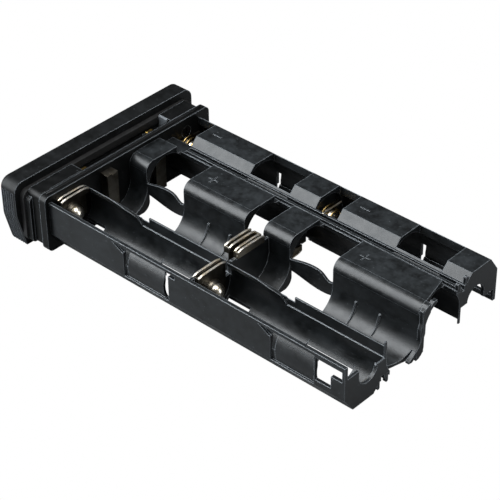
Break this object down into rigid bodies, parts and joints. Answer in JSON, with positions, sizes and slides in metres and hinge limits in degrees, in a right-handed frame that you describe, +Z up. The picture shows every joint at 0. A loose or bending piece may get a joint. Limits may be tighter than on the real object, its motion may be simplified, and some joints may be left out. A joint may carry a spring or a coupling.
{
  "type": "battery magazine",
  "caption": "Tray for round cells in side-by-side columns that open up and down, with a sealed end cap and quarter-turn lock.",
  "frame": {"origin": "centre of the bounding box's bottom", "axes": "+X from the end cap to the free end, +Y across the columns, +Z up with the front columns open upwards"},
  "size_m": [0.1216, 0.07, 0.0213],
  "materials": {
    "black_plastic": "satin",
    "black_rubber": "matte",
    "bright_steel": "satin",
    "black_steel": "satin",
    "nickel_strip": "polished",
    "brass": "polished"
  },
  "bodies": {
    "holder": {"tray_moulding": "black_plastic", "end_cover": "black_plastic", "cap_plug": "black_plastic", "seal_ring": "black_rubber", "cover_screws": "black_steel", "output_terminals": "brass", "contact_outer_left": "nickel_strip", "contact_outer_left_rear": "nickel_strip", "contact_outer_mid": "nickel_strip", "contact_outer_mid_rear": "nickel_strip", "contact_outer_right": "nickel_strip", "contact_outer_right_rear": "nickel_strip", "contact_inner_left": "nickel_strip", "contact_inner_left_rear": "nickel_strip", "contact_inner_mid": "nickel_strip", "contact_inner_mid_rear": "nickel_strip"},
    "lock": {"lock_knob": "black_plastic", "key_pin": "bright_steel", "lock_spindle": "bright_steel", "lock_wing": "bright_steel", "wing_screw": "black_steel"},
    "key": {"lock_key": "bright_steel"}
  },
  "joints": [
    {"name": "lock_turn", "type": "hinge", "parent": "holder", "child": "lock", "pos_m": [-0.05715, 0, 0.0107], "axis": [1, 0, 0], "range_deg": [0, 90]},
    {"name": "key_fold", "type": "hinge", "parent": "lock", "child": "key", "pos_m": [-0.05985, -0.0063, 0.0107], "axis": [0, 0, 1], "range_deg": [0, 90]}
  ]
}
